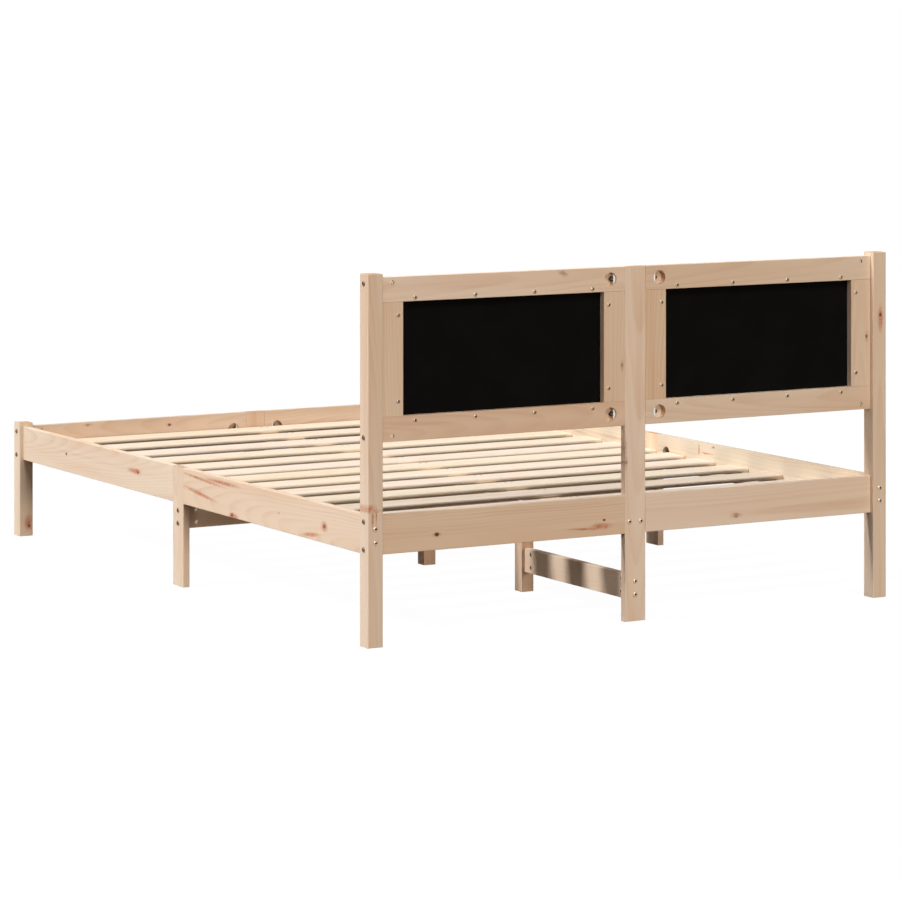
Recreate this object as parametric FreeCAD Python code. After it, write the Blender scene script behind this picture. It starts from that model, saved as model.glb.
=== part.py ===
import FreeCAD, Part
import math
import os

# Double bed frame in pine with a headboard that carries two padded panels.
# Millimetres. X runs across the bed, Y along it with the headboard at +Y, Z up.
# The origin is on the floor, under the middle of the bed.

# Mattress that the frame holds
mattress_width = 1400.0
mattress_length = 2000.0

# Corner posts
post_side = 40.0
post_edge_radius = 3.0
post_top_bevel = 1.5
head_post_height = 854.0
foot_post_height = 311.5
head_post_above_headboard = 8.5

# Rails round the mattress
rail_thickness = 18.0
rail_height = 91.0
rail_bottom = 210.0
board_edge_bevel = 1.0

# Middle posts of the two ends, and middle legs of the two sides
centre_post_width = 58.0
head_centre_post_height = head_post_height - head_post_above_headboard
side_leg_width = 60.0

# Legs on the centre line
centre_leg_side = 34.5
centre_leg_edge_bevel = 1.0
quarter_leg_share = 0.25

# Centre beam, side ledgers and the slats on them
slat_seat_height = 247.0
beam_width = 58.0
beam_thickness = 18.0
ledger_width = 20.0
ledger_height = 30.0
ledger_edge_bevel = 1.5
slat_width = 88.0
slat_thickness = 11.0
slat_end_gap = 1.0
slat_edge_bevel = 3.0
slat_rail_gap = 1.0
slat_place_shares = (
    -1.0, -0.825, -0.649, -0.479, -0.314, -0.157, -0.023,
    0.127, 0.28, 0.442, 0.608, 0.776, 0.948,
)

# Stretchers under the deck
stretcher_height = 60.0
stretcher_thickness = 18.0
low_stretcher_bottom = 49.5
cross_stretcher_bottom = 145.0

# Headboard frame
headboard_rail_height = 58.0
headboard_bottom = 467.0
stile_width = 58.5

# Padded panels, screwed to the front of the headboard frame
panel_overlap = 25.0
panel_thickness = 12.0
panel_corner_bevel = 3.0
pad_setback = 0.3
pad_margin = 1.0
pad_side_depth = 17.0
pad_crown = 15.0
pad_draw_in = 4.0
pad_shoulder_share = 0.8
pad_end_depth_share = 0.55
pad_station_shares = (-1.0, -0.93, -0.6, 0.0, 0.6, 0.93, 1.0)

# Frame bolts with a barrel nut across the end of each
bolt_radius = 3.0
bolt_clearance = 0.5
bolt_head_radius = 6.5
bolt_head_height = 2.5
bolt_head_sides = 8
shaft_sides = 6
bolt_past_nut = 3.0
close_bolt_spacing = 32.0
wide_bolt_spacing = 64.0
nut_setback = 30.0
nut_radius = 5.0
nut_length = 13.0

# Tie rods that pull two rails against the post between them
pocket_radius = 16.5
pocket_depth = 14.5
pocket_setback = 40.0
washer_flat_offset = 10.0
washer_height = 11.0
washer_clearance = 0.2
rod_nut_flats = 10.0
rod_nut_thickness = 5.0
rod_end_past_nut = 3.0

# Dowels
dowel_radius = 4.0
dowel_length = 36.0

# How far a cutting solid runs out of the face it enters
cut_overrun = 1.0

# Directions and names that the loops below share
X = FreeCAD.Vector(1, 0, 0)
Y = FreeCAD.Vector(0, 1, 0)
Z = FreeCAD.Vector(0, 0, 1)
sides = {"right": 1, "left": -1}
ends = {"head": 1, "foot": -1}

# Planes and levels that several pieces share
rail_inner_x = mattress_width / 2
rail_inner_y = mattress_length / 2
rail_outer_x = rail_inner_x + rail_thickness
rail_outer_y = rail_inner_y + rail_thickness
post_x = rail_inner_x + rail_thickness / 2
post_y = rail_inner_y + rail_thickness / 2
rail_top = rail_bottom + rail_height
rail_middle = rail_bottom + rail_height / 2
beam_bottom = slat_seat_height - beam_thickness
slat_top = slat_seat_height + slat_thickness
quarter_leg_y = mattress_length * quarter_leg_share
low_stretcher_middle = low_stretcher_bottom + stretcher_height / 2
cross_stretcher_middle = cross_stretcher_bottom + stretcher_height / 2
top_rail_bottom = head_centre_post_height - headboard_rail_height
bottom_rail_top = headboard_bottom + headboard_rail_height
opening_x0 = centre_post_width / 2 + stile_width
opening_x1 = post_x - post_side / 2 - stile_width

blanks = {}
bores = {}
fasteners = {}


def vec(x, y, z):
    return FreeCAD.Vector(x, y, z)


def box_between(a, b):
    """A block from any two opposite corners."""
    low = vec(min(a.x, b.x), min(a.y, b.y), min(a.z, b.z))
    high = vec(max(a.x, b.x), max(a.y, b.y), max(a.z, b.z))
    size = high - low
    return Part.makeBox(size.x, size.y, size.z, low)


def edges_along(shape, direction):
    """The straight edges that run in one direction."""
    found = []
    for edge in shape.Edges:
        run = edge.Vertexes[-1].Point - edge.Vertexes[0].Point
        if run.cross(direction).Length < run.Length / 1000:
            found.append(edge)
    return found


def board(name, a, b, grain, edge_bevel):
    """A planed board between two corners, its four long edges eased."""
    block = box_between(a, b)
    blanks[name] = block.makeChamfer(edge_bevel, edges_along(block, grain))


def corner_post(name, x, y, height):
    """A square post on the floor, its four long edges rounded and its top end bevelled."""
    half = post_side / 2
    block = box_between(vec(x - half, y - half, 0), vec(x + half, y + half, height))
    block = block.makeFillet(post_edge_radius, edges_along(block, Z))
    rim = [edge for edge in block.Edges if edge.BoundBox.ZMin > height - post_top_bevel]
    blanks[name] = block.makeChamfer(post_top_bevel, rim)


def cylinder(start, direction, radius, length):
    return Part.makeCylinder(radius, length, start, direction)


def ring_points(centre, direction, radius, sides):
    """The corners of a flat sided outline round an axis, the first repeated at the end."""
    across = X if abs(direction.z) > 0.5 else Z
    points = []
    for index in range(sides + 1):
        spin = FreeCAD.Rotation(direction, 360 * index / sides)
        points.append(centre + spin.multVec(across) * radius)
    return points


def bar(start, direction, radius, length, sides=shaft_sides):
    """A round bar drawn with a few flat sides, its corners on the true radius."""
    outline = Part.makePolygon(ring_points(start, direction, radius, sides))
    return Part.Face(outline).extrude(direction * length)


def drill(names, hole):
    """Notes a hole to be cut from each piece that is named."""
    for name in names:
        bores.setdefault(name, []).append(hole)


def bore(names, mouth, inward, radius, depth):
    """A straight hole from its mouth inward."""
    drill(names, bar(mouth - inward * cut_overrun, inward, radius, depth + cut_overrun))


def fasten(group, solid):
    fasteners.setdefault(group, []).append(solid)


def barrel_nut(name, middle, entry, thickness):
    """A cross nut in a blind hole, put in from the face that entry points out of."""
    mouth = middle + entry * (thickness / 2)
    bore([name], mouth, entry * -1, nut_radius, thickness / 2 + nut_length / 2)
    return bar(middle - entry * (nut_length / 2), entry, nut_radius, nut_length)


def bolt_joint(head_face, inward, clamped, clamped_name, held_name, entry, thickness):
    """A bolt through the clamped piece into the end of the held one, with its nut."""
    to_nut = clamped + nut_setback
    length = to_nut + bolt_past_nut
    bore([clamped_name, held_name], head_face, inward, bolt_radius + bolt_clearance, length)
    shank = bar(head_face, inward, bolt_radius, length)
    head_top = head_face - inward * bolt_head_height
    head = bar(head_top, inward, bolt_head_radius, bolt_head_height, bolt_head_sides)
    nut = barrel_nut(held_name, head_face + inward * to_nut, entry, thickness)
    fasten("frame_bolts", shank.fuse(head).removeSplitter())
    fasten("barrel_nuts", nut.cut(shank))


def half_moon(centre, outward, entry):
    """A half moon washer that fills the post side of a round pocket."""
    radius = pocket_radius - washer_clearance
    disc = cylinder(centre - entry * (washer_height / 2), entry, radius, washer_height)
    side_way = outward.cross(entry)
    a = centre + outward * washer_flat_offset * -1 - side_way * pocket_radius - entry * washer_height
    b = centre + outward * pocket_radius + side_way * pocket_radius + entry * washer_height
    return disc.cut(box_between(a, b))


def hex_nut(start, direction):
    """A hexagon nut on a tie rod."""
    corner = rod_nut_flats / 2 / math.cos(math.radians(30))
    return bar(start, direction, corner, rod_nut_thickness)


def tie_rod(middle, along, post_width, entry, post_name, held_names, thickness):
    """A threaded rod through a post, with a half moon washer and a nut in a pocket each side."""
    to_pocket = post_width / 2 + pocket_setback
    to_flat = to_pocket - washer_flat_offset
    half_length = to_flat + rod_nut_thickness + rod_end_past_nut
    rod = bar(middle - along * half_length, along, bolt_radius, half_length * 2)
    parts = [rod]
    drilled = [post_name] + list(held_names.values())
    bore_radius = bolt_radius + bolt_clearance
    bore(drilled, middle - along * half_length, along, bore_radius, half_length * 2)
    for way, held_name in held_names.items():
        outward = along * way
        pocket = middle + outward * to_pocket
        mouth = pocket + entry * (thickness / 2 + cut_overrun)
        drill([held_name], cylinder(mouth, entry * -1, pocket_radius, pocket_depth + cut_overrun))
        parts.append(half_moon(pocket, outward, entry).cut(rod))
        parts.append(hex_nut(middle + outward * to_flat, outward).cut(rod))
    for part in parts:
        fasten("tie_rod_sets", part)


def dowel(middle, along, names):
    """A wooden dowel half in one piece and half in its neighbour."""
    pin = bar(middle - along * (dowel_length / 2), along, dowel_radius, dowel_length)
    drill(names, pin)
    fasten("dowels", pin)


def make_posts():
    for side, sx in sides.items():
        corner_post("head_post_" + side, sx * post_x, post_y, head_post_height)
        corner_post("foot_post_" + side, sx * post_x, -post_y, foot_post_height)
    half = centre_post_width / 2
    for end, sy in ends.items():
        top = head_centre_post_height if end == "head" else rail_top
        a = vec(-half, sy * rail_inner_y, 0)
        b = vec(half, sy * rail_outer_y, top)
        board(end + "_centre_post", a, b, Z, board_edge_bevel)
    half = side_leg_width / 2
    for side, sx in sides.items():
        a = vec(sx * rail_inner_x, -half, 0)
        b = vec(sx * rail_outer_x, half, rail_top)
        board("side_leg_" + side, a, b, Z, board_edge_bevel)


def make_centre_legs():
    places = {"middle": 0, "head": quarter_leg_y, "foot": -quarter_leg_y}
    half = centre_leg_side / 2
    for place, y in places.items():
        a = vec(-half, y - half, 0)
        b = vec(half, y + half, beam_bottom)
        board("centre_leg_" + place, a, b, Z, centre_leg_edge_bevel)


def make_rails():
    half_post = post_side / 2
    for side, sx in sides.items():
        for end, sy in ends.items():
            a = vec(sx * rail_inner_x, sy * side_leg_width / 2, rail_bottom)
            b = vec(sx * rail_outer_x, sy * (post_y - half_post), rail_top)
            board("side_rail_%s_%s" % (side, end), a, b, Y, board_edge_bevel)
            a = vec(sx * centre_post_width / 2, sy * rail_inner_y, rail_bottom)
            b = vec(sx * (post_x - half_post), sy * rail_outer_y, rail_top)
            board("%s_rail_%s" % (end, side), a, b, X, board_edge_bevel)


def make_deck_supports():
    half_beam = beam_width / 2
    ledger_end = post_y - post_side / 2
    for end, sy in ends.items():
        a = vec(-half_beam, 0, beam_bottom)
        b = vec(half_beam, sy * rail_inner_y, slat_seat_height)
        board("centre_beam_" + end, a, b, Y, board_edge_bevel)
        for side, sx in sides.items():
            a = vec(sx * (rail_inner_x - ledger_width), 0, slat_seat_height - ledger_height)
            b = vec(sx * rail_inner_x, sy * ledger_end, slat_seat_height)
            board("ledger_%s_%s" % (side, end), a, b, Y, ledger_edge_bevel)


def make_stretchers():
    half_leg = centre_leg_side / 2
    half_board = stretcher_thickness / 2
    for end, sy in ends.items():
        a = vec(-half_board, sy * (quarter_leg_y + half_leg), low_stretcher_bottom)
        b = vec(half_board, sy * rail_inner_y, low_stretcher_bottom + stretcher_height)
        board("low_stretcher_" + end, a, b, Y, board_edge_bevel)
    for side, sx in sides.items():
        a = vec(sx * half_leg, -half_board, cross_stretcher_bottom)
        b = vec(sx * rail_inner_x, half_board, cross_stretcher_bottom + stretcher_height)
        board("cross_stretcher_" + side, a, b, X, board_edge_bevel)


def make_slats():
    half_length = post_x - post_side / 2 - slat_end_gap
    last_middle = rail_inner_y - slat_rail_gap - slat_width / 2
    for index, share in enumerate(slat_place_shares):
        middle = share * last_middle
        a = vec(-half_length, middle - slat_width / 2, slat_seat_height)
        b = vec(half_length, middle + slat_width / 2, slat_top)
        board("slat_%02d" % (index + 1), a, b, X, slat_edge_bevel)


def make_headboard():
    post_face = post_x - post_side / 2
    half_post = centre_post_width / 2
    levels = {"top": top_rail_bottom, "bottom": headboard_bottom}
    stiles = {"inner": half_post, "outer": opening_x1}
    for side, sx in sides.items():
        for level, z in levels.items():
            a = vec(sx * half_post, rail_inner_y, z)
            b = vec(sx * post_face, rail_outer_y, z + headboard_rail_height)
            board("headboard_%s_rail_%s" % (level, side), a, b, X, board_edge_bevel)
        for place, x in stiles.items():
            a = vec(sx * x, rail_inner_y, bottom_rail_top)
            b = vec(sx * (x + stile_width), rail_outer_y, top_rail_bottom)
            board("stile_%s_%s" % (side, place), a, b, Z, board_edge_bevel)


def make_panels():
    """The boards behind the padding, on the front faces of the headboard frame."""
    z0 = bottom_rail_top - panel_overlap
    z1 = top_rail_bottom + panel_overlap
    for side, sx in sides.items():
        a = vec(sx * (opening_x0 - panel_overlap), rail_inner_y, z0)
        b = vec(sx * (opening_x1 + panel_overlap), rail_inner_y - panel_thickness, z1)
        board("panel_board_" + side, a, b, Y, panel_corner_bevel)


def pad_section(x, back, end_share, z0, z1):
    """One closed outline of the padding, square to X: flat back, rounded sides, crowned front."""
    swell = 1 - end_share ** 4
    fullness = 1 - end_share ** 16
    side_depth = pad_side_depth * (pad_end_depth_share + (1 - pad_end_depth_share) * fullness)
    low = z0 + pad_draw_in * swell
    high = z1 - pad_draw_in * swell
    front_y = back - side_depth * pad_shoulder_share
    crown = vec(x, back - side_depth - pad_crown * swell, (low + high) / 2)
    low_back = vec(x, back, low)
    low_bulge = vec(x, back - side_depth / 2, low - pad_draw_in / 2)
    low_front = vec(x, front_y, low + pad_draw_in)
    high_back = vec(x, back, high)
    high_bulge = vec(x, back - side_depth / 2, high + pad_draw_in / 2)
    high_front = vec(x, front_y, high - pad_draw_in)
    edges = [
        Part.Arc(low_back, low_bulge, low_front).toShape(),
        Part.Arc(low_front, crown, high_front).toShape(),
        Part.Arc(high_front, high_bulge, high_back).toShape(),
        Part.makeLine(high_back, low_back),
    ]
    return Part.Wire(edges)


def make_pads():
    """Padding with a crowned face and sides that pull in between the corners."""
    back = rail_inner_y - panel_thickness - pad_setback
    z0 = bottom_rail_top - panel_overlap + pad_margin
    z1 = top_rail_bottom + panel_overlap - pad_margin
    middle_x = (opening_x0 + opening_x1) / 2
    half_width = (opening_x1 - opening_x0) / 2 + panel_overlap - pad_margin
    for side, sx in sides.items():
        wires = []
        for share in pad_station_shares:
            x = sx * middle_x + share * half_width
            wires.append(pad_section(x, back, abs(share), z0, z1))
        blanks["headboard_pad_" + side] = Part.makeLoft(wires, True, True)


def bolt_corner_joints():
    """Bolts from the outer faces of the corner posts into the rails that meet there."""
    half_post = post_side / 2
    for end, sy in ends.items():
        for side, sx in sides.items():
            post_name = "%s_post_%s" % (end, side)
            for way in (-1, 1):
                z = rail_middle + way * close_bolt_spacing / 2
                face = vec(sx * post_x, sy * (post_y + half_post), z)
                rail = "side_rail_%s_%s" % (side, end)
                bolt_joint(face, Y * -sy, post_side, post_name, rail, X * -sx, rail_thickness)
                z = rail_middle + way * wide_bolt_spacing / 2
                face = vec(sx * (post_x + half_post), sy * post_y, z)
                rail = "%s_rail_%s" % (end, side)
                bolt_joint(face, X * -sx, post_side, post_name, rail, Y * -sy, rail_thickness)


def bolt_headboard_joints():
    """One bolt and one dowel between each headboard rail and its corner post."""
    offset = close_bolt_spacing / 2
    rails = {"top": (top_rail_bottom, 1), "bottom": (headboard_bottom, -1)}
    for side, sx in sides.items():
        post_name = "head_post_" + side
        for level, (bottom, way) in rails.items():
            rail = "headboard_%s_rail_%s" % (level, side)
            middle = bottom + headboard_rail_height / 2
            face = vec(sx * (post_x + post_side / 2), post_y, middle + way * offset)
            bolt_joint(face, X * -sx, post_side, post_name, rail, Y, rail_thickness)
            joint = vec(sx * (post_x - post_side / 2), post_y, middle - way * offset)
            dowel(joint, X, [post_name, rail])


def bolt_middle_posts():
    """Tie rods and dowels through the middle posts and legs, between the rails that butt there."""
    half = centre_post_width / 2
    for end, sy in ends.items():
        name = end + "_centre_post"
        held = {sx: "%s_rail_%s" % (end, side) for side, sx in sides.items()}
        middle = vec(0, sy * post_y, rail_middle)
        tie_rod(middle, X, centre_post_width, Y * -sy, name, held, rail_thickness)
        for sx, rail in held.items():
            for way in (-1, 1):
                z = rail_middle + way * close_bolt_spacing
                dowel(vec(sx * half, sy * post_y, z), X, [name, rail])
    for level, bottom in (("top", top_rail_bottom), ("bottom", headboard_bottom)):
        held = {sx: "headboard_%s_rail_%s" % (level, side) for side, sx in sides.items()}
        middle = vec(0, post_y, bottom + headboard_rail_height / 2)
        tie_rod(middle, X, centre_post_width, Y, "head_centre_post", held, rail_thickness)
        for sx, rail in held.items():
            for way in (-1, 1):
                joint = vec(sx * half, post_y, middle.z + way * close_bolt_spacing / 2)
                dowel(joint, X, ["head_centre_post", rail])
    half = side_leg_width / 2
    for side, sx in sides.items():
        name = "side_leg_" + side
        held = {sy: "side_rail_%s_%s" % (side, end) for end, sy in ends.items()}
        middle = vec(sx * post_x, 0, rail_middle)
        tie_rod(middle, Y, side_leg_width, X * -sx, name, held, rail_thickness)
        for sy, rail in held.items():
            for way in (-1, 1):
                z = rail_middle + way * close_bolt_spacing
                dowel(vec(sx * post_x, sy * half, z), Y, [name, rail])


def bolt_under_frame():
    """Bolts of the centre beam, the low stretchers and the cross stretchers."""
    half_leg = centre_leg_side / 2
    for end, sy in ends.items():
        post_name = end + "_centre_post"
        for way in (-1, 1):
            offset = way * close_bolt_spacing / 2
            face = vec(offset, sy * rail_outer_y, slat_seat_height - beam_thickness / 2)
            beam = "centre_beam_" + end
            bolt_joint(face, Y * -sy, rail_thickness, post_name, beam, Z * -1, beam_thickness)
            z = low_stretcher_middle + offset
            rail = "low_stretcher_" + end
            face = vec(0, sy * rail_outer_y, z)
            bolt_joint(face, Y * -sy, rail_thickness, post_name, rail, X, stretcher_thickness)
            face = vec(0, sy * (quarter_leg_y - half_leg), z)
            leg = "centre_leg_" + end
            bolt_joint(face, Y * sy, centre_leg_side, leg, rail, X, stretcher_thickness)
    for side, sx in sides.items():
        for way in (-1, 1):
            z = cross_stretcher_middle + way * close_bolt_spacing / 2
            rail = "cross_stretcher_" + side
            face = vec(sx * rail_outer_x, 0, z)
            bolt_joint(face, X * -sx, rail_thickness, "side_leg_" + side, rail, Y, stretcher_thickness)
    to_nut = half_leg + nut_setback
    half_rod = to_nut + bolt_past_nut
    drilled = ["centre_leg_middle", "cross_stretcher_right", "cross_stretcher_left"]
    for way in (-1, 1):
        z = cross_stretcher_middle + way * close_bolt_spacing / 2
        start = vec(-half_rod, 0, z)
        rod = bar(start, X, bolt_radius, half_rod * 2)
        bore(drilled, start, X, bolt_radius + bolt_clearance, half_rod * 2)
        fasten("tie_rod_sets", rod)
        for side, sx in sides.items():
            nut = barrel_nut("cross_stretcher_" + side, vec(sx * to_nut, 0, z), Y, stretcher_thickness)
            fasten("barrel_nuts", nut.cut(rod))


def export(name, shape):
    shape.exportStep("parts/%s.step" % name)
    state = "valid" if shape.isValid() else "INVALID"
    print(name, len(shape.Solids), "solids, %.0f mm3," % shape.Volume, state)


make_posts()
make_centre_legs()
make_rails()
make_deck_supports()
make_stretchers()
make_slats()
make_headboard()
make_panels()
make_pads()
bolt_corner_joints()
bolt_headboard_joints()
bolt_middle_posts()
bolt_under_frame()

os.makedirs("parts", exist_ok=True)
for name, blank in blanks.items():
    piece = blank.cut(bores[name]) if name in bores else blank
    export(name, piece)
for name, solids in fasteners.items():
    export(name, Part.makeCompound(solids))
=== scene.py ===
import math
import random

import bmesh
import bpy
from mathutils import Matrix, Vector


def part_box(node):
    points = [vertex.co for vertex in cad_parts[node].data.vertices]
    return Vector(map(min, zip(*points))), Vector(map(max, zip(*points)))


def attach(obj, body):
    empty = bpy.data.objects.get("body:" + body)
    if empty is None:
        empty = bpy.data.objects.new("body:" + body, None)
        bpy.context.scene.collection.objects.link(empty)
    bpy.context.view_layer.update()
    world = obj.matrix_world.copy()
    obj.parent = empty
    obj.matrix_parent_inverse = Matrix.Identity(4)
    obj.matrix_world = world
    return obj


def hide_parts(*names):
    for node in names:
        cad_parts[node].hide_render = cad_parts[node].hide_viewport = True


# Double bed frame in pine, seen from behind its padded headboard.
# Metres. X runs across the bed, Y along it with the headboard at +Y, Z up.

mm = 0.001
body = "root"

# Camera, as solved from the photograph: pixels for the lens, metres for the place
photo_size = 900
focal_pixels = 3742.8
principal_point = (481.2, -13.0)
camera_place = (4.7812, 8.5532, 1.5105)
camera_heading = math.radians(149.96)
sensor_width = 36
clip_end = 1000

# Rounding of the timber
edge_radius = 1.2 * mm
post_edge_radius = 3 * mm
ledger_edge_radius = 1.5 * mm
slat_edge_radius = 5.2 * mm
edge_steps = 4
end_bevel = 0.7 * mm
post_top_bevel = 1.5 * mm
end_bevel_steps = 2
slat_end_reach = 11 * mm
crease_angle = math.radians(34)
flat_weight = 80
end_slack = 0.01 * mm

# Holes in the timber, and the sides of round pieces
bore_clearance = 0.4 * mm
nut_hole_clearance = 0.3 * mm
pocket_radius = 16.5 * mm
pocket_depth = 14.5 * mm
washer_flat_offset = 10 * mm
cut_overrun = 1 * mm
touch_slack = Vector((0.2, 0.2, 0.2)) * mm
weld_distance = 0.001 * mm
hole_sides = 32
pocket_sides = 64
turned_sides = 24

# Frame bolts with a domed head and a hexagon socket, and threaded rods.
# The rings of the head are shares of its radius and its height.
bolt_radius = 3 * mm
bolt_head_radius = 6.5 * mm
bolt_head_height = 2.5 * mm
bolt_rim_height = 0.9 * mm
bolt_head_shares = (
    (0.969, -0.008), (1.0, 0.08), (1.0, 0.28), (0.95, 0.48), (0.82, 0.72), (0.64, 0.92), (0.48, 1.0),
)
neck_drop = 0.05 * mm
socket_flats = 5.2 * mm
socket_depth = 1.9 * mm
socket_lip = 0.1 * mm
socket_chamfer = 0.3 * mm
socket_reach_share = 0.6
socket_rim = 0.15 * mm
thread_pitch = 1 * mm
thread_depth = 0.45 * mm
thread_lead = 0.3 * mm
thread_run_out = 0.6 * mm
thread_tip_share = 0.8
threaded_end = 24 * mm
rod_sides = 16

# Barrel nuts
nut_radius = 5 * mm
nut_chamfer = 0.5 * mm
nut_slot_width = 1.3 * mm
nut_slot_depth = 1.6 * mm
nut_sides = 32

# Hexagon nuts and half moon washers on the rods
rod_nut_flats = 10 * mm
rod_nut_thickness = 5 * mm
rod_nut_chamfer = 0.5 * mm
rod_nut_lead = 0.3 * mm
rod_nut_rise = 0.02 * mm
shortest_rod = 60 * mm
washer_edge = 0.5 * mm
washer_steps = 24

# Dowels: their rings are shares of the radius and the length
dowel_radius = 4 * mm
dowel_sides = 48
dowel_flute_share = 0.05
dowel_ring_shares = ((0.8, -0.5), (1.0, -0.46), (1.0, 0.46), (0.8, 0.5))

# Wood screws: round heads that hold the panels, flush heads in the slats.
# The rings of their heads are shares of the head's radius and height.
panel_screw_radius = 5.4 * mm
panel_screw_height = 2.4 * mm
panel_screw_length = 25 * mm
slat_screw_radius = 4.6 * mm
slat_screw_height = 0.3 * mm
slat_screw_sink = 0.4 * mm
slat_screw_length = 24 * mm
round_head_shares = ((0.97, 0.0), (1.0, 0.25), (0.94, 0.55), (0.74, 0.85), (0.45, 1.0), (0.2, 1.02))
flush_head_shares = ((0.94, 0.0), (0.6, 1.0), (0.2, 1.05))
countersink_share = 0.7
screw_shank_radius = 1.9 * mm
screw_root_share = 0.62
screw_tip_share = 0.2
screw_thread_shares = (0.95, 0.35)
screw_waist_shares = (0.8, 0.33)
cross_width = 2.0 * mm
cross_reach = 3.5 * mm
cross_depth = 1.7 * mm
cross_rim = 0.2 * mm
recess_slack = 0.1 * mm

# Places of the panel screws on one half of the headboard: along the rails, then on the stiles
panel_screw_rows = (
    ((0.11925, 0.27925, 0.43925, 0.59925), (0.796, 0.513)),
    ((0.0745, 0.644), (0.7565, 0.5585)),
)

# Places of the slat screws, across the bed and back from the middle of the slat
slat_screw_columns = (-27 * mm, -9 * mm)
slat_screw_setback = 28 * mm
slat_screw_scatter = 6 * mm
slat_screw_turn = 3

# Panel boards and padding
panel_edge_radius = 1.6 * mm
panel_edge_steps = 3
pad_inset = 3 * mm
pad_start_depth = 17 * mm
pad_corner_radius = 7 * mm
pad_corner_steps = 4
pad_voxel = 6 * mm
pad_pressure = 4
pad_quality = 6
pad_stiffness = 20
pad_bending = 0.6
pad_travel = 14 * mm
pad_frames = 20
pad_pinned_depth = 4 * mm

# Two pines and a beech: the frame is a little pink, the slats and the bearers are creamy
frame_pine = {"Pale": (243, 219, 194), "Warm": (237, 206, 177), "Late": (211, 168, 132)}
slat_pine = {"Pale": (247, 232, 214), "Warm": (243, 224, 202), "Late": (226, 193, 152)}
dowel_beech = {"Pale": (222, 184, 142), "Warm": (214, 172, 128), "Late": (180, 134, 92)}
heart_dark = (92, 54, 38)
heart_light = (146, 88, 60)
halo_brown = (180, 124, 90)
resin_red = (200, 112, 66)
end_grain_tint = (226, 206, 186)
ring_spacing = 4.6 * mm
ring_wander = 34 * mm
wood_specular = 0.06

# Floor and world: white where they are seen, and darker and warmer where they light the bed
floor_reach = 400
floor_drop = 0.2 * mm
floor_glow = 0.98
floor_seen_colour = (0.035, 0.035, 0.035, 1)
floor_bounce_colour = (0.06, 0.035, 0.02, 1)
world_colour = (1.0, 0.62, 0.38, 1)
world_strength = 0.03
white = (1, 1, 1, 1)

# Lamps far away, with angles in degrees: the heading from +X toward +Y and the height where
# each stands, its strength, its width, and its colour unless it is white
lamps = {
    "key_lamp": (-6, 41, 0.85, 10),
    "top_lamp": (-45, 50, 0.21, 30),
    "low_left_lamp": (-60, 6, 0.05, 20),
    "back_lamp": (250, 35, 0.06, 30),
    "front_lamp": (40, 28, 0.10, 25),
    "right_lamp": (80, 45, 0.33, 20, (1.0, 0.96, 0.9)),
    "low_right_lamp": (100, 4, 0.30, 8, (1.0, 0.88, 0.76)),
}

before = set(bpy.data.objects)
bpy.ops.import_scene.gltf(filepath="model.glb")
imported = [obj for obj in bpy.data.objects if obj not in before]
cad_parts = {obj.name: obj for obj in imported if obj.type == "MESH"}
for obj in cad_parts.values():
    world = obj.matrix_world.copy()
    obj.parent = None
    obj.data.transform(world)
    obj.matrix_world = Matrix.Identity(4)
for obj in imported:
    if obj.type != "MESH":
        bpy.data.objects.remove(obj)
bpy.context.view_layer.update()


def rgb(red, green, blue):
    """A screen colour, 0 to 255, as the linear colour that shaders use."""
    linear = []
    for value in (red, green, blue):
        share = value / 255
        linear.append(share / 12.92 if share <= 0.04045 else ((share + 0.055) / 1.055) ** 2.4)
    return (*linear, 1.0)


class Net:
    """Short calls that add nodes to one node tree and wire them."""

    def __init__(self, tree):
        self.tree = tree

    def put(self, socket, value):
        if isinstance(value, bpy.types.NodeSocket):
            self.tree.links.new(value, socket)
        else:
            socket.default_value = value

    def node(self, kind, values=None, **settings):
        node = self.tree.nodes.new("ShaderNode" + kind)
        for name, value in settings.items():
            setattr(node, name, value)
        for socket, value in (values or {}).items():
            self.put(node.inputs[socket], value)
        return node

    def math(self, operation, a, b=0.0, clamp=False):
        return self.node("Math", {0: a, 1: b}, operation=operation, use_clamp=clamp).outputs[0]

    def times(self, a, b, clamp=False):
        return self.math("MULTIPLY", a, b, clamp)

    def plus(self, a, b):
        return self.math("ADD", a, b)

    def minus(self, a, b):
        return self.math("SUBTRACT", a, b)

    def vector(self, operation, a, b=(0.0, 0.0, 0.0)):
        return self.node("VectorMath", {0: a, 1: b}, operation=operation).outputs[0]

    def parts(self, vector):
        return self.node("SeparateXYZ", {0: vector}).outputs

    def join(self, x, y, z):
        return self.node("CombineXYZ", {0: x, 1: y, 2: z}).outputs[0]

    def step(self, value, start, end, low=0.0, high=1.0):
        """A smooth step from low at start to high at end."""
        values = {"Value": value, "From Min": start, "From Max": end, "To Min": low, "To Max": high}
        return self.node("MapRange", values, interpolation_type="SMOOTHSTEP").outputs[0]

    def mix(self, share, a, b, blend="MIX"):
        node = self.node("Mix", {0: share, 6: a, 7: b}, data_type="RGBA", blend_type=blend)
        return node.outputs[2]

    def noise(self, vector, scale=1.0, detail=3.0, roughness=0.55):
        values = {"Vector": vector, "Scale": scale, "Detail": detail, "Roughness": roughness}
        return self.node("TexNoise", values).outputs[0]


def new_group(name, inputs, outputs):
    """A node group with its sockets by kind, and what it gets and what it gives."""
    group = bpy.data.node_groups.new(name, "ShaderNodeTree")
    for way, kinds in (("INPUT", inputs), ("OUTPUT", outputs)):
        for kind, labels in kinds.items():
            for label in labels:
                group.interface.new_socket(label, in_out=way, socket_type="NodeSocket" + kind)
    start = group.nodes.new("NodeGroupInput")
    end = group.nodes.new("NodeGroupOutput")
    return group, start.outputs, end.inputs


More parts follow.
